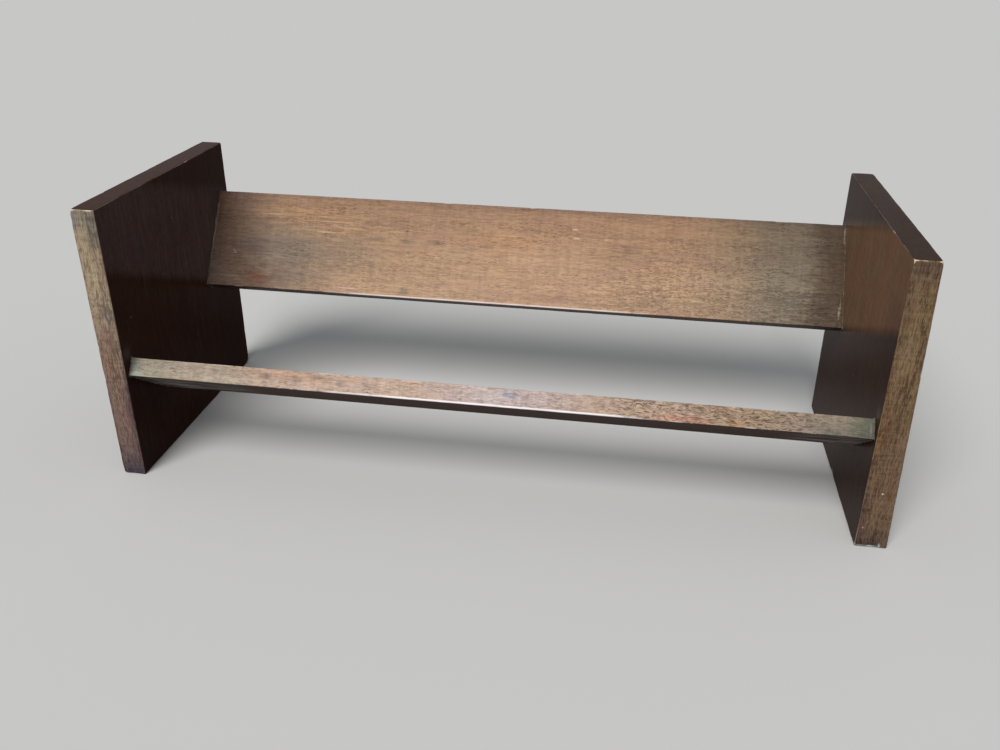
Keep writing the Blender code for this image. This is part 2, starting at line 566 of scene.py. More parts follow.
def makeHairlines():   # short hairlines along Z, a few of them pale
    look = hairlineLook
    tree, given, out, mm = newGroup("hairlines", (("Float", ["Amount"]),))
    line = maths("ABSOLUTE", swingOf(mm, *look["line"]))
    thin = softStep(line, 0.0, look["thickness"], 1.0, 0.0)
    where = maths("ADD", noiseOf(mm, *look["where"]), given["Amount"])
    feed(out["Mask"], times(thin, softStep(where, *look["shows"])))
    return tree


grainGroup = makeGrain()
arrisWearGroup = makeArrisWear()
patchGroup = makePatch()
dustGroup = makeDust()
hairlineGroup = makeHairlines()
print("shared effects built")


def patchMask(vector, centre, reach, feather, breakUp):
    return useGroup(patchGroup, {
        "Vector": vector, "Centre": centre, "Reach": reach, "Feather": feather, "Break Up": breakUp,
    })["Mask"]


def layPatches(vector, colour, patches, way="MIX"):   # lays a list of patches over a colour
    for *spread, paint, share in patches:
        colour = lay(colour, patchMask(vector, *spread), (paint, share), way)
    return colour


# Patches on one face, in millimetres. Each row has its place, its reach along and up (and into the
# wood, where that isn't the usual depth), break-up, paint or tint, share, and last its feather,
# where that isn't the usual one
def patchesOn(axis, face, depth, rows):
    patches = []
    for place, reach, breakUp, paint, share, *feather in rows:
        centre, size = list(place), list(reach[:2])
        centre.insert(axis, face)
        size.insert(axis, reach[2] if len(reach) > 2 else depth)
        centre, size = ([step / 1000 for step in steps] for steps in (centre, size))
        patches.append((centre, size, *(feather or [patchLook["feather"]]), breakUp, paint, share))
    return patches


def wornArrises(place, amount):
    return useGroup(arrisWearGroup, {
        "Vector": place, "Amount": amount,
        "Arris": attributeOf("arris"), "Dent": attributeOf("dent"),
    })["Mask"]


def rubbedHighlightLine(x, mm, run, line):   # a painted highlight along an arris, where the finish is also rubbed, broken here and there
    there = times(softStep(x, *run["start"]), softStep(x, *run["end"]))
    there = times(there, line)
    broken = raised(noiseOf(mm, *rubbedHighlightLook["breaks"]), there, rubbedHighlightLook["evenness"])
    return times(there, softStep(broken, *rubbedHighlightLook["shows"]))


def startMaterial(name, specular):
    material = bpy.data.materials.new(name)
    material.use_nodes = True
    bench["tree"] = material.node_tree
    shader = material.node_tree.nodes["Principled BSDF"]
    shader.inputs["Specular IOR Level"].default_value = specular
    return material, shader


def dressSurface(shader, colour, rough, height, depth):
    feed(shader.inputs["Base Color"], colour)
    feed(shader.inputs["Roughness"], rough)
    bump = newNode("ShaderNodeBump")   # relief of the pores and of the brushed-on finish
    bump.inputs["Distance"].default_value = depth
    feed(bump.inputs["Height"], height)
    feed(shader.inputs["Normal"], bump.outputs["Normal"])


# The V between the ends: Y runs down the seat to the rear and Z up the back

trough = {
    "lean": math.radians(35),
    "cornerDepth": 0.086,
    "cornerHeight": 0.034,
    "middle": -0.0035,   # midway between the tops of the ends, where the boards' own X starts
    "halfLength": 0.2377,   # of the two boards, before their ends are cut to the end boards
    "height": 0.191,
    "clearance": 0.0003,   # round each dowel, and at each board's end
}

# Ends: how far along X their two faces stand at the foot and at the top
leftFaces = {"foot": (-0.2575, -0.2415), "top": (-0.2575, -0.2415)}
rightFaces = {"foot": (0.2375, 0.2575), "top": (0.2345, 0.25)}

corner = Vector((trough["middle"], cadLowest.y + trough["cornerDepth"], trough["cornerHeight"]))
lean = Matrix.Rotation(-trough["lean"], 4, "X")


def troughPlace(y, z):   # where a board's middle lies in the V, as a transform
    return Matrix.Translation(corner) @ lean @ Matrix.Translation((0, y, z))


def faceAt(faces, which, height):
    share = height / trough["height"]
    return faces["foot"][which] * (1 - share) + faces["top"][which] * share


def setBetweenEnds(shape, half, place):   # sets a board in the V, cut to length between the ends
    gap = trough["clearance"]
    bmesh.ops.transform(shape, matrix=place, verts=shape.verts)
    for vert in shape.verts:
        share = (vert.co.x - trough["middle"]) / half.x
        if share > 0:
            end = faceAt(rightFaces, 0, vert.co.z) - gap
        else:
            end = -faceAt(leftFaces, 1, vert.co.z) - gap + 2 * trough["middle"]
        vert.co.x = trough["middle"] + share * (end - trough["middle"])


def troughBoard(data, half, place):
    shape = boardBlock(half, data["spacing"])
    knocks = list(data["knocks"]) + scatterKnocks(half, (1, 2), *data["smallKnocks"])
    easeArrises(shape, half, (1, 2), data["arrises"], knocks)
    planeByHand(shape, half, (1, 2), data["dips"])
    setBetweenEnds(shape, half, place)
    return shape


def dowelNames(board, levels):
    return [f"{board}_dowel_{side}_{level}" for side in ("left", "right") for level in levels]


# Both boards of the V

boardShape = {"spacing": 0.0017, "dips": {"depth": 0.00008, "size": 0.05}, "poreDepth": 0.00008}

boardWood = {
    "Pale": (0.5, 0.3, 0.172), "Dark": (0.3, 0.172, 0.1), "Blush": (0.4, 0.222, 0.145),
    "Pore Size": 0.32,
}

# Back board

backBoard = {
    **boardShape,
    "width": 0.076,
    "thickness": 0.01,
    "fromCorner": 0.073,
    "arrises": {"radius": 0.0006, "wobble": 0.5, "grain": 0.009},
    "knocks": (   # place, depth and reach
        ((-0.055, -0.005, 0.038), 0.0006, 0.0035),
        ((0.011, -0.005, 0.038), 0.0006, 0.003),
        ((-0.212, -0.005, -0.038), 0.0008, 0.005),
    ),
    "smallKnocks": (30, 0.0003, 0.004, 11),   # count, depth, reach and seed
    "specular": 0.15,
    "wood": {**boardWood, "Amber": (0.5, 0.295, 0.145), "Pore": (0.12, 0.075, 0.052), "Wave": 4.0},
    "right": (0.03, 0.15),   # to the right, and low there, the grain curls and its pores crowd
    "low": (0.03, -0.02),
    "curl": (0.5, 3.5),   # everywhere, and more to the right
    "pores": (0.42, 0.22),   # everywhere, and more low on the right
    "contrast": (0.92, 0.6, 1.05),   # everywhere, and more among the dashes and low on the right
    "dashes": ((-0.145, -0.005, 0.019), (0.07, 0.006, 0.016), 0.9, 0.5),   # crowd at the upper left
    "blur": (((0.05, 0.09, 0.09), 4.0, 0.6), 0.022),   # shades end in fingers that follow the grain
    "fringe": (((0.06, 0.65, 0.65), 2.0, 0.6, (8.0, 4.0, 1.0)), 0.026),
    "height": (0.036, -0.034),   # over which the colour turns from high to low: darker above, and lighter and bluer below as a painted reflection
    "highShade": (0.77, 0.745, 0.735),
    "lowPaintedReflection": (1.05, 1.12, 1.2),
    "foot": (-0.006, -0.036),
    "shades": (   # where each starts and is full, how far it moves at the foot, and its tint; the last two are painted shade from the end boards, at both ends
        ((0.11, 0.188), 0, (0.64, 0.75, 0.81)),
        ((0.165, 0.2), 0, (0.78, 0.86, 0.93)),
        ((-0.22, -0.176, 1.0, 0.0), -0.01, (0.38, 0.37, 0.41)),
        ((0.208, 0.23), 0.008, (0.44, 0.36, 0.32)),
    ),
    # painted shade, darker and bluer, along the top edge
    "topBand": (0.0045, 0.0015),
    "paintedTopShade": ((0.7, 0.7, 0.86), 0.6),
    "rear": (0.1, 0.9),   # shares of the half thickness
    "rearStain": ((0.1, 0.045, 0.028), 0.6),
    # painted shade on the lower edge, under the board
    "under": (0.0007, 0.0002),
    "underPaintedShade": ((0.03, 0.014, 0.014), 0.85),
    "wear": 0.3,
    "bare": ((0.62, 0.46, 0.38), 0.7),
    # a painted highlight along the lower front arris, where the finish is also rubbed
    "highlightRun": {"start": (-0.16, -0.1), "end": (0.13, 0.06)},
    "highlightHeight": (0.0016, 0.0008),
    "highlightDepth": (0.001, 0.0004),
    "rubbedHighlight": ((0.86, 0.76, 0.76), 0.75),
    "roughness": (0.45, 0.25, 0.15),   # plain, in the pores and where worn
    "stainsAndShade": patchesOn(1, -5, 6, (
        # The first and third deepen the painted shade at the left end, the fourth is a painted
        # bluish reflection low at the left end, and the fifth and sixth lighten the painted shade
        # at the top of both ends
        ((-186, -4), (52, 30), 0.6, (0.46, 0.57, 0.72), 0.85, 0.95),
        ((-140, -6), (60, 24), 1.0, (0.72, 0.79, 0.88), 0.85, 0.95),
        ((-172, -28), (52, 30), 0.8, (0.5, 0.54, 0.62), 0.9, 0.95),
        ((-235, -30), (18, 50), 0.4, (1.05, 1.18, 1.42), 0.8),
        ((-230, 36), (24, 22), 0.4, (1.22, 1.2, 1.24), 0.8),
        ((232, 34), (18, 28), 0.5, (1.24, 1.34, 1.36), 0.8),
        ((140, 30), (50, 24), 0.6, (1.1, 1.12, 1.1), 0.8),
        ((140, -24), (34, 14), 0.8, (1.16, 1.18, 1.14), 0.8),
        ((30, -31), (36, 7), 1.4, (0.7, 0.64, 0.72), 0.45),
        ((116, -28), (50, 10), 1.2, (0.72, 0.8, 0.84), 0.4),
        ((87, 11), (18, 6), 1.2, (0.66, 0.58, 0.66), 0.6),
        ((-198, -30), (14, 9), 1.2, (0.98, 0.54, 0.42), 0.75, 0.95),
        ((-107, 6), (14, 3), 2.4, (0.46, 0.5, 0.54), 0.6, 0.95),
        ((-83, 6), (9, 3), 2.4, (0.44, 0.5, 0.54), 0.65, 0.95),
        ((-60, 6), (10, 3), 2.4, (0.44, 0.5, 0.54), 0.65, 0.95),
        ((-21, 5.5), (9, 2), 2.4, (0.5, 0.54, 0.58), 0.6, 0.95),
        ((-4, 9), (12, 3, 4), 1.2, (0.58, 0.62, 0.68), 0.5),
        ((-81, -33), (6, 4), 2.2, (0.4, 0.5, 0.54), 0.7, 0.95),
        ((-125, 0), (100, 70), 0.3, (0.93, 0.93, 0.9), 0.9),
        ((22, 0), (70, 70), 0.3, (1.1, 1.08, 1.07), 0.9),
        ((-201, 6), (16, 40), 0.5, (0.86, 0.84, 0.82), 0.8),
        # painted shade, darker along the top of the board
        ((0, 36), (240, 10), 0.3, (0.88, 0.86, 0.88), 0.9),
        ((-165, 22), (45, 10), 1.2, (1.06, 1.02, 0.86), 0.6),
        ((-128, 11), (16, 2), 1.4, (1.24, 1.06, 0.72), 0.6),
        ((-10, 10), (40, 13), 1.2, (1.1, 0.98, 0.82), 0.55),
    )),
    "marks": patchesOn(1, -5, 6, (
        ((-219.6, -9.2), (0.8, 1.4), 1.0, (0.42, 0.34, 0.27), 0.55),
        ((-218.2, -9.8), (0.9, 1), 1.0, (0.42, 0.34, 0.27), 0.45),
        ((-218.4, -11.3), (2.4, 0.7), 1.2, (0.42, 0.34, 0.27), 0.45),
        ((-220, -29.5), (9, 0.9), 2.4, (0.34, 0.29, 0.27), 0.5),
        ((-215, -32.5), (7, 0.8), 2.4, (0.34, 0.29, 0.27), 0.5),
        ((-142, 18), (34, 0.7), 1.6, (0.64, 0.42, 0.215), 0.6),
        ((-146, 9.5), (18, 0.8), 1.6, (0.66, 0.43, 0.215), 0.6),
        ((-150, 21.5), (24, 0.6), 1.6, (0.64, 0.42, 0.215), 0.5),
        ((-192, 21.5), (14, 0.8), 1.6, (0.56, 0.38, 0.22), 0.5),
        ((-128, 13.5), (20, 0.6), 1.6, (0.64, 0.42, 0.215), 0.5),
        ((-90, 13), (14, 0.7), 1.6, (0.64, 0.42, 0.215), 0.5),
        ((-4, 15), (14, 0.7), 1.6, (0.68, 0.45, 0.235), 0.5),
        ((-126, -33.5), (14, 0.6), 1.4, (0.72, 0.56, 0.44), 0.6),
        ((69, -22.4), (5, 0.7), 1.6, (0.4, 0.17, 0.09), 0.6),
        ((44, 22.9), (3, 1.1, 4), 2.0, (0.6, 0.45, 0.33), 0.6, 0.7),
        ((46, 16.3), (3, 1, 4), 2.0, (0.6, 0.45, 0.33), 0.6, 0.7),
        ((67.5, 16.3), (3, 1, 4), 2.0, (0.56, 0.42, 0.31), 0.5, 0.7),
        ((236.4, -28), (1, 5), 2.6, (0.4, 0.35, 0.27), 0.6),
        ((237.2, -21), (0.7, 6), 1.6, (0.34, 0.29, 0.22), 0.5),
        ((237.8, 30), (0.9, 9), 1.6, (0.36, 0.32, 0.24), 0.5),
        ((-237.2, 8), (0.8, 30), 1.4, (0.3, 0.27, 0.25), 0.5, 0.7),
    )),
}

backHalf = Vector((trough["halfLength"], backBoard["thickness"] / 2, backBoard["width"] / 2))
backPlace = troughPlace(backHalf.y, backBoard["fromCorner"] + backHalf.z)


def backMaterial():
    data, half = backBoard, backHalf
    material, shader = startMaterial("backBoardMahogany", data["specular"])
    place = boardVector(backPlace.translation, (-trough["lean"], 0, 0))
    x, y, z = axesOf(place)
    mm = inMillimetres(place)
    right = softStep(x, *data["right"])
    lowRight = times(right, softStep(z, *data["low"]))
    plain, among, atRight = data["contrast"]
    contrast = raised(plain, patchMask(place, *data["dashes"]), among)
    grain = useGroup(grainGroup, {
        **data["wood"], "Vector": place, "Contrast": raised(contrast, lowRight, atRight),
        "Curl": spread(right, data["curl"]),
        "Pore Share": spread(lowRight, data["pores"]),
    })
    colour = layPatches(place, grain["Color"], data["stainsAndShade"], "MULTIPLY")
    cloud, share = data["blur"]
    blur = times(swingOf(mm, *cloud), share)
    cloud, share = data["fringe"]
    blur = raised(blur, swingOf(mm, *cloud), share)
    along = maths("ADD", x, blur)
    foot = softStep(z, *data["foot"])
    colour = tint(1.0, colour, data["highShade"])
    lighter = [low / high for low, high in zip(data["lowPaintedReflection"], data["highShade"])]
    lighter = vectorMaths("MULTIPLY", colour, lighter)
    # painted reflection: lighter and bluer towards the lower edge
    colour = mixColours(softStep(z, *data["height"]), colour, lighter)
    # tints along the board; the last two are painted shade from the end boards
    for zone, shift, shade in data["shades"]:
        edge = raised(along, foot, shift) if shift else along
        colour = tint(softStep(edge, *zone), colour, shade)
    # painted shade along the top edge
    colour = lay(colour, nearHigh(z, half.z, data["topBand"]), data["paintedTopShade"], "MULTIPLY")
    colour = layPatches(place, colour, data["marks"])
    rear = softStep(y, *(half.y * share for share in data["rear"]))
    colour = lay(colour, rear, data["rearStain"])
    # painted shade under the board
    colour = lay(colour, nearLow(z, half.z, data["under"]), data["underPaintedShade"])
    worn = wornArrises(place, data["wear"])
    colour = lay(colour, worn, data["bare"])
    rubbedHighlight = rubbedHighlightLine(x, mm, data["highlightRun"], nearLow(z, half.z, data["highlightHeight"]))
    rubbedHighlight = times(rubbedHighlight, nearLow(y, half.y, data["highlightDepth"]))
    colour = lay(colour, rubbedHighlight, data["rubbedHighlight"])
    plain, inPores, whereWorn = data["roughness"]
    rough = raised(raised(plain, grain["Pores"], inPores), worn, whereWorn)
    dressSurface(shader, colour, rough, times(grain["Pores"], -1.0), data["poreDepth"])
    return material


def makeBack():
    shape = troughBoard(backBoard, backHalf, backPlace)
    dowels = dowelNames("back", ("lower", "upper"))
    piece = finishBoard("back_board_mahogany", shape, dowels, backMaterial())
    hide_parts("back_board")


# Seat board

seatBoard = {
    **boardShape,
    "width": 0.055,
    "thickness": 0.0125,
    "fromCorner": 0.037,
    "arrises": {"radius": 0.0007, "wobble": 0.5, "grain": 0.008},
    "knocks": (
        ((0.098, -0.0275, -0.00625), 0.001, 0.004),
        ((0.166, -0.0275, -0.00625), 0.0009, 0.004),
    ),
    "smallKnocks": (40, 0.0006, 0.004, 5),
    "specular": 0.12,
    "wood": {
        **boardWood, "Amber": (0.52, 0.29, 0.125), "Pore": (0.095, 0.062, 0.045), "Contrast": 0.95,
        "Wave": 5.0, "Curl": 0.8, "Pore Share": 0.5,
    },
    "edgeWood": {
        "Pale": (0.64, 0.475, 0.375), "Dark": (0.35, 0.245, 0.19), "Amber": (0.6, 0.4, 0.27),
        "Blush": (0.48, 0.37, 0.34), "Pore": (0.095, 0.062, 0.045), "Wave": 2.0,
    },
    "plainEdge": {"Pore Share": 0.45, "Pore Size": 0.32},
    "curlyEdge": {"Contrast": 1.7, "Curl": 7.5, "Pore Share": 0.8, "Pore Size": 0.46},
    "woodShift": (0.31, 0.0, 0.0),   # so that no two faces are cut from the same wood
    "edgeShift": (0.77, 0.0, 0.0),
    "plainFineness": (1.2, 1.05, 1.05),
    "curlyFineness": (0.8, 0.9, 0.9),
    "plainContrast": (-0.2, -0.02, 0.78, 0.95),
    "plainCurl": (-0.1, 0.02, 1.0, 3.5),
    "curlyFrom": (0.045, 0.1),
    "curlyTo": (0.225, 0.19),
    "curlShade": (0.84, 0.84, 0.82),
    "front": (0.0009, 0.0003),
    # painted shade on the underside
    "under": (0.0006, 0.0001),
    "underPaintedShade": ((0.03, 0.012, 0.012), 0.92),
    "smearEnds": ((-0.15, -0.215), (0.185, 0.228)),   # pale smears under both ends of the board
    "smearDepth": (-0.026, 0.002, 0.35, 1.0),
    "smear": (((0.022, 0.14, 0.0), 3.0, 0.6, (7.0, 2.0, 4.0)), (0.43, 0.55)),
    "dusty": ((0.52, 0.49, 0.45), 0.9),
    "wear": 0.35,
    "lessWorn": (0.224, 0.208, 0.2, 1.0),   # by the right end
    "bare": ((0.86, 0.74, 0.7), 0.85),
    # a painted highlight along the lower front arris, where the finish is also rubbed
    "highlightRun": {"start": (-0.15, -0.04), "end": (0.12, 0.07)},
    "highlightHeight": (0.0018, 0.0009),
    "rubbedHighlight": ((0.98, 0.92, 0.95), 0.95),
    "roughness": (0.4, 0.15, 0.25, 0.15),   # plain, on the front, in the pores and where worn
    "underRoughness": 0.7,
    "stainsAndShade": patchesOn(1, -27.5, 6, (
        ((-238, 2), (12, 16), 0.4, (0.46, 0.62, 0.76), 0.85, 0.8),
        ((-226, 0), (34, 30), 0.5, (0.78, 0.84, 0.8), 0.9),
        ((-200, 0), (62, 40), 0.5, (0.79, 0.9, 0.9), 0.9, 0.6),
        ((-143, 1), (6, 3, 4), 1.2, (0.46, 0.52, 0.62), 0.7),
        ((-122, 0), (6, 3, 4), 1.2, (0.5, 0.56, 0.66), 0.6),
        ((-92, 0), (6, 3, 4), 1.2, (0.5, 0.56, 0.66), 0.6),
        ((18, 2), (7, 3, 4), 0.9, (0.5, 0.66, 0.86), 0.75),
        ((16, 0), (66, 30), 0.5, (0.94, 1.04, 1.3), 0.85, 0.8),
        ((126, -4), (30, 4, 4), 1.2, (1.05, 0.72, 0.66), 0.7),
        ((158, -4), (8, 3, 4), 1.2, (1.2, 0.85, 0.55), 0.6),
        ((-130, 4), (75, 7), 0.5, (0.93, 0.84, 0.79), 0.9),
        ((0, 0), (26, 20), 0.5, (1.1, 1.16, 1.16), 0.8),
        ((165, 0), (50, 25), 0.5, (0.82, 0.8, 0.72), 0.95),
        ((250, -3), (105, 40), 0.4, (0.5, 0.54, 0.52), 0.95),
        ((216, -5), (14, 5), 0.6, (0.66, 0.72, 0.76), 0.9),
        ((214, 0), (20, 30), 0.5, (0.8, 0.88, 0.88), 0.85),
        ((234, 0), (15, 20), 0.5, (0.86, 1.0, 1.04), 0.85, 0.7),
        ((242, 2), (26, 30), 0.6, (0.47, 0.54, 0.5), 0.95, 0.8),
        ((-178, 2), (5, 2, 4), 1.4, (0.52, 0.6, 0.62), 0.65),
        ((-164, -1), (7, 1, 4), 1.4, (0.52, 0.6, 0.62), 0.65),
        ((-108, 3), (7, 2, 4), 1.4, (0.5, 0.56, 0.6), 0.65),
        ((-74, 1), (8, 2, 4), 1.4, (0.54, 0.6, 0.64), 0.6),
        ((-50, 2), (6, 1, 4), 1.4, (0.54, 0.6, 0.64), 0.6),
    )),
    "marks": patchesOn(1, -27.5, 6, (
        ((-232.5, -4.5), (7, 3), 0.8, (0.38, 0.45, 0.4), 0.6),
        ((21, 1.8), (6, 0.5), 1.6, (0.28, 0.46, 0.46), 0.6),
        ((17, 0.8), (5, 0.4), 1.6, (0.32, 0.46, 0.46), 0.55),
        ((13, 0.1), (5, 0.5), 1.6, (0.7, 0.74, 0.86), 0.55),
        ((-226, -6), (14, 0.9), 1.2, (0.56, 0.6, 0.56), 0.75),
        ((237.6, -1), (0.8, 6), 1.4, (0.42, 0.42, 0.33), 0.3),
    )),
}

seatHalf = Vector((trough["halfLength"], seatBoard["width"] / 2, seatBoard["thickness"] / 2))
seatPlace = troughPlace(-seatBoard["fromCorner"] - seatHalf.y, -seatHalf.z)


def seatMaterial():
    data, half = seatBoard, seatHalf
    material, shader = startMaterial("seatBoardMahogany", data["specular"])
    place = boardVector(seatPlace.translation, (-trough["lean"], 0, 0))
    x, y, z = axesOf(place)
    mm = inMillimetres(place)
    top = useGroup(grainGroup, {
        **data["wood"], "Vector": vectorMaths("ADD", place, data["woodShift"]),
    })
    shifted = vectorMaths("ADD", place, data["edgeShift"])
    plain = useGroup(grainGroup, {
        **data["edgeWood"], **data["plainEdge"],
        "Vector": vectorMaths("MULTIPLY", shifted, data["plainFineness"]),
        "Contrast": softStep(x, *data["plainContrast"]), "Curl": softStep(x, *data["plainCurl"]),
    })
    wavy = useGroup(grainGroup, {
        **data["edgeWood"], **data["curlyEdge"],
        "Vector": vectorMaths("MULTIPLY", shifted, data["curlyFineness"]),
    })
    curly = times(softStep(x, *data["curlyFrom"]), softStep(x, *data["curlyTo"]))
    edgeColour = mixColours(curly, plain["Color"], tint(1.0, wavy["Color"], data["curlShade"]))
    edgeColour = layPatches(place, edgeColour, data["stainsAndShade"], "MULTIPLY")
    edgeColour = layPatches(place, edgeColour, data["marks"])
    front = nearLow(y, half.y, data["front"])
    colour = mixColours(front, top["Color"], edgeColour)
    under = nearLow(z, half.z, data["under"])
    # painted shade on the underside
    colour = lay(colour, under, data["underPaintedShade"])
    nearEnds = maths("MAXIMUM", *(softStep(x, *zone) for zone in data["smearEnds"]))
    smear = times(nearEnds, softStep(y, *data["smearDepth"]))
    cloud, shows = data["smear"]
    smear = times(smear, softStep(noiseOf(mm, *cloud), *shows))
    colour = lay(colour, times(smear, under), data["dusty"])
    worn = times(wornArrises(place, data["wear"]), softStep(x, *data["lessWorn"]))
    colour = lay(colour, worn, data["bare"])
    rubbedHighlight = rubbedHighlightLine(x, mm, data["highlightRun"], nearLow(z, half.z, data["highlightHeight"]))
    colour = lay(colour, times(rubbedHighlight, front), data["rubbedHighlight"])
    pores = mixColours(front, top["Pores"], mixColours(curly, plain["Pores"], wavy["Pores"]))
    flat, onFront, inPores, whereWorn = data["roughness"]
    rough = raised(raised(flat, front, onFront), pores, inPores)
    rough = maths("MAXIMUM", rough, times(under, data["underRoughness"]))
    rough = raised(rough, worn, whereWorn)
    dressSurface(shader, colour, rough, times(pores, -1.0), data["poreDepth"])
    return material


def makeSeat():
    shape = troughBoard(seatBoard, seatHalf, seatPlace)
    dowels = dowelNames("seat", ("front", "rear"))
    piece = finishBoard("seat_board_mahogany", shape, dowels, seatMaterial())
    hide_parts("seat_board")


# End boards

endBoards = {
    "size": (0.016, 0.184, trough["height"]),
    "arrises": {"radius": 0.0009, "wobble": 0.4, "grain": 0.01},
    "spacing": 0.0024,
    "dips": {"depth": 0.00012, "size": 0.06},
    "smallKnocks": (44, 0.0005, 0.004),
    "specular": 0.008,
    "wood": {
        "Pore": (0.014, 0.008, 0.007), "Contrast": 0.35, "Wave": 6.0, "Curl": 0.6,
        "Pore Share": 0.3, "Pore Size": 0.3,
    },
    "edgeWood": {"Pore": (0.05, 0.03, 0.02), "Wave": 3.0, "Pore Size": 0.27},
    "woodShift": 0.4,   # so that the two ends are cut from different wood
    "lower": (0.04, -0.05),
    "front": (0.0011, 0.0004),
    "reflectionSlopes": (0.424, 0.302),   # how steeply the painted reflection band's two borders fall to the rear
    "reflectionBlurs": (0.005, -0.006),
    "fray": ((30.0, 300.0, 300.0), 0.005),
    "innerSide": (0.0, -0.004),
    "reflectionDepth": 0.7,   # how far through the back board the band ends, as a share of its thickness
    "reflectionEnd": (0.002, -0.002),
    "onTop": (0.0008, 0.0003),
    "hairlines": 0.45,
    "dust": ((0.3, 0.29, 0.23), 0.12),
    "frontArris": (0.0016, 0.0008),
    "arrisHighlight": (0.2, 0.165, 0.16),   # painted highlight along the arrises
    "frontArrisHighlight": (0.4, 0.33, 0.25),
    "paintedHighlight": ((70.0, 70.0, 70.0), 4.0, 0.6),
    "highlightFront": -0.14,
    "highlightArris": (0.1, 0.8),
    "highlightShows": (0.3, 0.58, 0.04, 0.72),
    "crest": ((0.003, 0.001), (0.004, 0.001)),   # the front of the top arris, down from it and back
    "wear": (0.1, 0.16),   # everywhere, and more on the crest
    "bare": ((0.72, 0.6, 0.44), 0.85),
    "roughness": (0.24, 0.6),   # polished, and dull
    "hairlineRoughness": 0.2,
    "poreDepth": 0.00006,
}

leftEnd = {
    "side": -1,
    "seed": 21,
    "faces": leftFaces,
    "wood": {
        "Pale": (0.06, 0.027, 0.018), "Dark": (0.026, 0.012, 0.009),
        "Amber": (0.066, 0.03, 0.016), "Blush": (0.05, 0.016, 0.014),
    },
    "edgeWood": {
        "Pale": (0.465, 0.365, 0.255), "Dark": (0.215, 0.154, 0.112), "Amber": (0.43, 0.33, 0.18),
        "Blush": (0.34, 0.21, 0.17), "Contrast": 1.3, "Curl": 2.0, "Pore Share": 0.5,
    },
    "edgeLow": (0.64, 0.56, 0.65),
    "edgeFineness": 1.0,
    "stainsAndShade": patchesOn(1, -92, 6, (
        ((5.5, 26), (7, 11, 4), 0.7, (0.62, 0.76, 0.84), 0.8),
        ((4.5, 83), (8, 20, 4), 0.7, (0.58, 0.7, 0.8), 0.8),
        ((8, -45), (5, 65, 4), 0.6, (0.44, 0.46, 0.6), 0.8),
        ((-7.5, -45), (5, 65, 4), 0.6, (0.72, 0.68, 0.76), 0.9),
        ((0, -100), (24, 46), 0.4, (0.4, 0.47, 0.62), 0.92),
        ((0, -97), (24, 16), 0.5, (0.66, 0.74, 0.98), 0.9),
        ((0, 94), (24, 14), 0.5, (0.8, 0.86, 0.93), 0.9),
        ((-6.5, 90), (5, 14, 4), 0.5, (0.74, 0.85, 1.08), 0.85),
        ((0, 56), (5, 26, 4), 0.6, (1.2, 1.22, 1.16), 0.8),
        ((0, 6), (16, 20, 4), 0.6, (0.83, 0.85, 0.88), 0.9),
        ((-2, -6), (12, 34), 0.8, (0.92, 0.76, 0.74), 0.7),
    )),
    "marks": (),
    "innerMarks": patchesOn(0, 8, 4, (
        ((-1, 63), (1.2, 1.2), 1.5, (0.16, 0.14, 0.13), 0.6, 0.8),
        ((-24, 29), (3, 1), 1.5, (0.14, 0.12, 0.12), 0.5, 0.8),
        ((-50, 61), (6, 8), 1.5, (0.09, 0.07, 0.07), 0.4),
        ((-73, 17), (2.5, 1), 1.5, (0.14, 0.13, 0.14), 0.5, 0.8),
        ((-86, -4), (7, 8), 1.2, (0.09, 0.075, 0.06), 0.6),
    )),
    "paintedReflection": (0.017, 0.0855),   # how high the painted reflection band's two borders lie
    "reflectionTint": (1.95, 2.9, 3.8),
    "streaksAndReflection": patchesOn(0, 8, 8, (
        # a painted reflection, lightening the inner face near the back board
        ((60, 20), (75, 55), 0.3, (1.4, 1.45, 1.45), 0.9),
    )),
    "paintedTopShade": (1.05, 1.15, 1.35),
    "knocks": (
        ((-0.008, -0.092, 0.002), 0.0006, 0.004),
        ((-0.008, -0.092, -0.02), 0.0005, 0.004),
        ((-0.008, -0.092, -0.03), 0.0006, 0.004),
        ((-0.008, -0.092, 0.0955), 0.0008, 0.005),
        ((0.008, 0.092, -0.0955), 0.0014, 0.007),
    ),
    "wornCorners": (   # a point on each flat, and the way it faces
        ((-0.007, -0.092, -0.0955), (-0.94, -0.18, -0.28)),
        ((-0.0056, -0.092, -0.0955), (-0.62, -0.22, -0.75)),
    ),
}

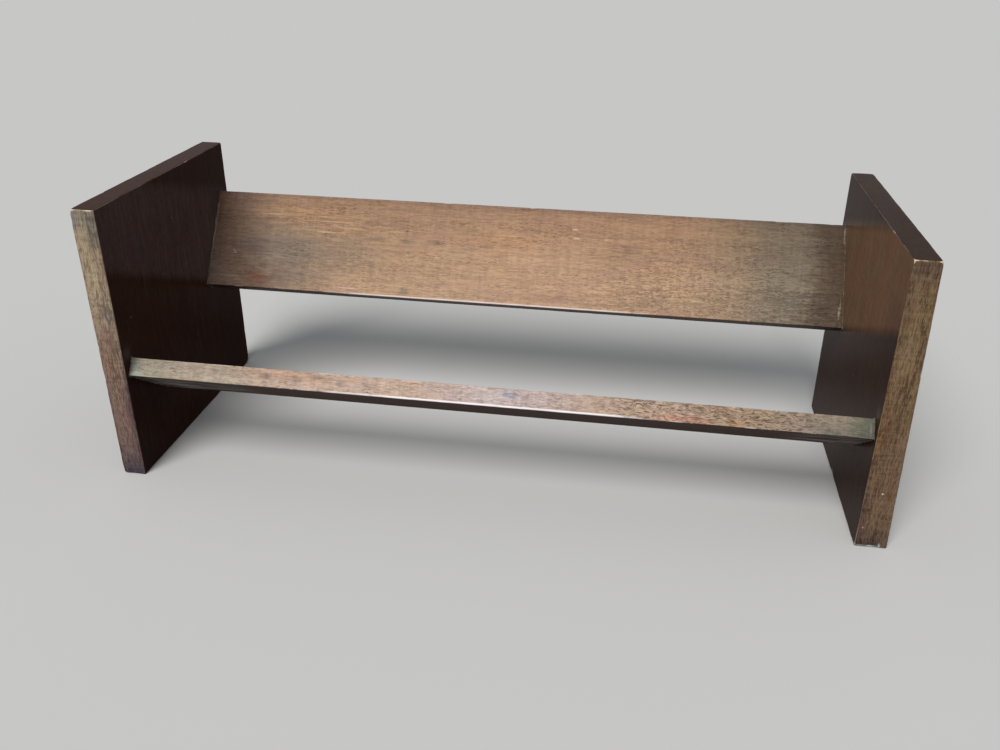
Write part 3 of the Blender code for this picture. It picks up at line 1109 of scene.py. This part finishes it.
rightEnd = {
    "side": 1,
    "seed": 34,
    "faces": rightFaces,
    "wood": {
        "Pale": (0.066, 0.033, 0.0215), "Dark": (0.031, 0.0155, 0.011),
        "Amber": (0.072, 0.035, 0.019), "Blush": (0.056, 0.0225, 0.0165),
    },
    "edgeWood": {
        "Pale": (0.262, 0.179, 0.104), "Dark": (0.104, 0.063, 0.037),
        "Amber": (0.281, 0.177, 0.075), "Blush": (0.216, 0.108, 0.069),
        "Contrast": 1.15, "Curl": 0.9, "Pore Share": 0.33,
    },
    "edgeLow": (0.84, 0.81, 0.9),
    "edgeFineness": 1.4,
    "stainsAndShade": patchesOn(1, -92, 6, (
        ((-8, -8), (6, 30), 0.8, (1.24, 1.06, 0.86), 0.8),
        ((0, 92), (20, 16), 0.6, (0.62, 0.63, 0.78), 0.85),
        ((-8, 65), (5, 50), 0.5, (0.78, 0.78, 0.85), 0.9),
        ((-8, 4), (5, 13), 0.5, (0.76, 0.79, 0.86), 0.9),
        ((-8, -75), (6, 36), 0.5, (0.66, 0.62, 0.84), 0.9),
        ((0, -98), (20, 26), 0.6, (0.46, 0.48, 0.68), 0.9),
    )),
    "marks": patchesOn(1, -92, 4, (
        ((2.4, -55), (0.9, 0.9), 0.4, (0.8, 0.74, 0.62), 0.85, 0.7),
        ((-4.6, -81), (0.6, 0.6), 0.4, (0.7, 0.66, 0.58), 0.7, 0.7),
        ((-4, -94.7), (5, 1.3), 0.7, (0.4, 0.44, 0.42), 0.55, 0.8),
        ((3, -94.7), (6, 1.3), 0.7, (0.46, 0.5, 0.5), 0.75, 0.8),
        ((2, -94.7), (3, 1.2), 0.8, (0.66, 0.7, 0.7), 0.7, 0.8),
        ((7.5, -94), (1.2, 2.8), 1.0, (0.5, 0.54, 0.5), 0.8),
        ((-7.6, -94.2), (1.2, 2), 1.0, (0.5, 0.52, 0.46), 0.8),
    )),
    "innerMarks": patchesOn(0, -9, 4, (
        ((56, 6), (7, 11), 2.2, (0.34, 0.29, 0.2), 0.55, 0.95),
        ((74, 57), (4, 6), 2.0, (0.2, 0.21, 0.13), 0.5, 0.95),
        ((-7, -93), (6, 2), 1.6, (0.45, 0.42, 0.34), 0.5, 0.8),
        ((-86, -4), (7, 8), 1.2, (0.11, 0.095, 0.07), 0.55),
    )),
    "paintedReflection": (0.0135, 0.085),
    "reflectionTint": (4.5, 5.3, 4.9),
    "streaksAndReflection": patchesOn(0, -9.5, 8, (
        ((-46, 62), (7, 40), 0.8, (1.18, 1.02, 0.95), 0.6),
        ((-20, 30), (6, 30), 0.8, (1.15, 1.04, 0.95), 0.6),
        # a darker, purple painted reflection at the front of the inner face
        ((-95, 52), (45, 40), 0.4, (0.78, 0.68, 0.86), 0.8),
    )),
    "paintedTopShade": (0.8, 0.98, 1.15),
    "knocks": (
        ((-0.008, -0.092, 0.0955), 0.0005, 0.004),
        ((0.008, -0.092, 0.0955), 0.0008, 0.004),
        ((0.008, 0.092, 0.0955), 0.0008, 0.005),
        ((-0.008, -0.007, -0.0955), 0.0012, 0.006),
    ),
    "wornCorners": (),
}


def paintedReflectionBand(x, y, z, upright, centre, end):   # a lighter band on the inner face, a painted reflection of the back board
    data = endBoards
    stretch, share = data["fray"]
    frayed = raised(z, swingOf(upright, stretch), share)
    low, high = (
        softStep(raised(frayed, y, slope), border - blur, border + blur)
        for slope, border, blur in zip(data["reflectionSlopes"], end["paintedReflection"], data["reflectionBlurs"])
    )
    inside = softStep(times(x, end["side"]), *data["innerSide"])
    away = lean @ Vector((0, 1, 0))   # and only in front of the back board
    behind = lean @ Vector((0, data["reflectionDepth"] * backBoard["thickness"], 0))
    behind += Vector((0, corner.y, corner.z - centre.z))
    depth = raised(raised(-behind.dot(away), z, away.z), y, away.y)
    inside = times(inside, softStep(depth, *data["reflectionEnd"]))
    return times(times(low, high), inside)


def endMaterial(name, half, centre, end):
    data = endBoards
    material, shader = startMaterial(name, data["specular"])
    place = boardVector(centre, (0, 0, 0))
    x, y, z = axesOf(place)
    height = maths("ADD", z, data["woodShift"] * end["side"])
    upright = vectorOf(X=height, Y=x, Z=y)   # the grain stands upright, so its X is the board's Z
    grain = useGroup(grainGroup, {**data["wood"], **end["wood"], "Vector": upright})
    edge = useGroup(grainGroup, {
        **data["edgeWood"], **end["edgeWood"],
        "Vector": vectorMaths("MULTIPLY", upright, [end["edgeFineness"]] * 3),
    })
    edgeColour = tint(softStep(z, *data["lower"]), edge["Color"], end["edgeLow"])
    edgeColour = layPatches(place, edgeColour, end["stainsAndShade"], "MULTIPLY")
    front = nearLow(y, half.y, data["front"])
    paintedReflection = paintedReflectionBand(x, y, z, upright, centre, end)
    # the inner face is lightened in a band: a painted reflection of the back board
    faceColour = tint(paintedReflection, grain["Color"], end["reflectionTint"])
    # grain streaks, and patches of painted reflection
    faceColour = layPatches(place, faceColour, end["streaksAndReflection"], "MULTIPLY")
    # the top faces take a painted shade and a bluish painted reflection
    topColour = tint(1.0, grain["Color"], end["paintedTopShade"])
    faceColour = mixColours(nearHigh(z, half.z, data["onTop"]), faceColour, topColour)
    colour = mixColours(front, faceColour, edgeColour)
    colour = layPatches(place, colour, end["marks"])
    colour = layPatches(place, colour, end["innerMarks"])
    hairlines = useGroup(hairlineGroup, {"Vector": place, "Amount": data["hairlines"]})["Mask"]
    hairlines = times(hairlines, maths("SUBTRACT", 1.0, front))
    colour = lay(colour, hairlines, data["dust"])
    # a broken painted highlight along the arrises, paler on the front ones
    frontArris = nearLow(y, half.y, data["frontArris"])
    arrisHighlight = mixColours(frontArris, data["arrisHighlight"], data["frontArrisHighlight"])
    paintedHighlight = raised(noiseOf(upright, *data["paintedHighlight"]), frontArris, data["highlightFront"])
    paintedHighlight = times(softStep(attributeOf("arris"), *data["highlightArris"]),
                    softStep(paintedHighlight, *data["highlightShows"]))
    colour = mixColours(paintedHighlight, colour, arrisHighlight)
    down, back = data["crest"]
    crest = times(nearHigh(z, half.z, down), nearLow(y, half.y, back))
    worn = wornArrises(place, spread(crest, data["wear"]))
    colour = lay(colour, worn, data["bare"])
    rough = softStep(maths("MAXIMUM", front, worn), 0.0, 1.0, *data["roughness"])
    rough = raised(rough, hairlines, data["hairlineRoughness"])
    pores = mixColours(front, grain["Pores"], edge["Pores"])
    dressSurface(shader, colour, rough, times(pores, -1.0), data["poreDepth"])
    return material


def makeEnd(node, end):
    data = endBoards
    half = Vector(data["size"]) / 2
    shape = boardBlock(half, data["spacing"])
    knocks = list(end["knocks"]) + scatterKnocks(half, (0, 1, 2), *data["smallKnocks"], end["seed"])
    easeArrises(shape, half, (0, 1, 2), data["arrises"], knocks)
    for point, normal in end["wornCorners"]:
        wearCorner(shape, point, normal)
    planeByHand(shape, half, (0, 1), data["dips"])
    for vert in shape.verts:   # stands it up between its two faces, which may lean
        vert.co.z += half.z
        outer, inner = faceAt(end["faces"], 0, vert.co.z), faceAt(end["faces"], 1, vert.co.z)
        vert.co.x = outer + (inner - outer) * (vert.co.x + half.x) / (2 * half.x)
    middles = [sum(end["faces"][level]) / 2 for level in ("foot", "top")]
    centre = Vector((sum(middles) / 2, 0, half.z))
    side = node.split("_")[0]
    dowels = [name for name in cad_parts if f"_dowel_{side}_" in name]
    material = endMaterial(side + "EndMahogany", half, centre, end)
    piece = finishBoard(node + "_mahogany", shape, dowels, material)
    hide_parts(node)


# Glue lines: old glue squeezed out round each joint, from the gap between board and end board

glueLine = {
    "clear": 0.00002,   # kept free on both sides of the line, in the gap
    "proud": 0.0004,
    "spacing": 0.002,
    "fewestCuts": 3,
    "ripples": 260,   # how closely its rim ripples
    "rippleShare": 0.9,
    "rim": 0.00001,
    "colour": (0.42, 0.38, 0.27),
    "darkColour": (0.08, 0.058, 0.04),
    "dust": 0.5,
    "roughness": (0.45, 0.75),
    "relief": 0.00005,
    "specular": 0.2,
}


def glueMaterial():
    data = glueLine
    material, shader = startMaterial("oldGlue", data["specular"])
    dust = useGroup(dustGroup, {"Vector": objectVector(), "Amount": data["dust"]})["Mask"]
    colour = mixColours(dust, data["darkColour"], data["colour"])
    rough = softStep(dust, 0.0, 1.0, *data["roughness"])
    dressSurface(shader, colour, rough, dust, data["relief"])
    return material


def makeGlueLine(name, side, boardHalf, place, material):
    data, gap = glueLine, trough["clearance"]
    proud = data["proud"]
    half = Vector((gap / 2 - data["clear"], boardHalf.y + proud, boardHalf.z + proud))
    shape = bmesh.new()
    bmesh.ops.create_cube(shape, size=1)
    for axis in (1, 2):
        cutAcross(shape, axis, max(data["fewestCuts"], round(2 * half[axis] / data["spacing"])))
    bmesh.ops.scale(shape, vec=half * 2, verts=shape.verts)
    for vert in shape.verts:
        for axis in (1, 2):
            if abs(vert.co[axis]) > half[axis] - data["rim"]:
                lift = noise.noise(Vector((side * 3, vert.co.y, vert.co.z)) * data["ripples"])
                vert.co[axis] *= 1 + lift * proud * data["rippleShare"] / half[axis]
    bmesh.ops.transform(shape, matrix=place, verts=shape.verts)
    for vert in shape.verts:   # moves it along into the gap, which follows the end board's face
        face = faceAt(rightFaces, 0, vert.co.z) if side > 0 else faceAt(leftFaces, 1, vert.co.z)
        vert.co.x += face - side * gap / 2 - trough["middle"]
    piece = meshObject(name, shape)
    piece.data.materials.append(material)
    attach(piece, "root")


def makeGlueLines():
    material = glueMaterial()
    for board, half, place in (("seat", seatHalf, seatPlace), ("back", backHalf, backPlace)):
        for sideName, side in (("left", -1), ("right", 1)):
            makeGlueLine(board + "_glue_line_" + sideName, side, half, place, material)


# Dowels

dowelWood = {
    "grain": {
        "Pale": (0.6, 0.43, 0.27), "Dark": (0.48, 0.32, 0.19), "Amber": (0.6, 0.43, 0.27),
        "Blush": (0.48, 0.32, 0.19), "Pore": (0.33, 0.21, 0.12), "Contrast": 0.7, "Wave": 1.0,
        "Curl": 0.2, "Pore Share": 0.4, "Pore Size": 0.22,
    },
    "roughness": (0.6, 0.15),   # plain, and in the pores
    "poreDepth": 0.00003,
    "specular": 0.3,
}


def dressDowels():
    data = dowelWood
    material, shader = startMaterial("dowelBeech", data["specular"])
    grain = useGroup(grainGroup, {**data["grain"], "Vector": objectVector()})
    rough = spread(grain["Pores"], data["roughness"])
    dressSurface(shader, grain["Color"], rough, times(grain["Pores"], -1.0), data["poreDepth"])
    for name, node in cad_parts.items():
        if "dowel" in name:
            node.data.materials.clear()
            node.data.materials.append(material)


makeCamera()
makeStudio()
print("camera and studio ready")
makeBack()
print("back board made")
makeSeat()
print("seat board made")
makeEnd("left_end_board", leftEnd)
makeEnd("right_end_board", rightEnd)
print("end boards made")
makeGlueLines()
dressDowels()
print("glue lines and dowels made")

bpy.context.scene.view_settings.view_transform = "Standard"
